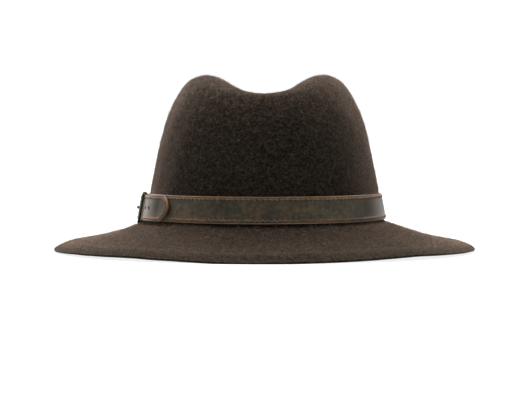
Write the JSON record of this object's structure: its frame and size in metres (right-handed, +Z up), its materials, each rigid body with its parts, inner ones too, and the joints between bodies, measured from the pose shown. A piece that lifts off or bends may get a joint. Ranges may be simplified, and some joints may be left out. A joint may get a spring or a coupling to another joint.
{
  "type": "felt traveller hat",
  "caption": "Blocked felt hat with a dented crown, a sloping brim all round and a stitched leather band fastened with a small buckle.",
  "frame": {"origin": "on the surface that the hat rests on, under the middle of the crown", "axes": "+Z up through the crown, +Y towards the back of the hat, +X towards the side opposite the buckle, with the hat's front facing -Y"},
  "size_m": [0.3016, 0.3422, 0.1254],
  "materials": {
    "felt": "wool felt, dark brown with short lighter fibres",
    "leather": "waxed olive-brown leather with tan cut edges and thread",
    "metal": "darkened brass, satin"
  },
  "bodies": {
    "root": {"felt_body": "felt", "hat_band": "leather", "buckle_frame": "metal", "buckle_prong": "metal"}
  },
  "joints": []
}
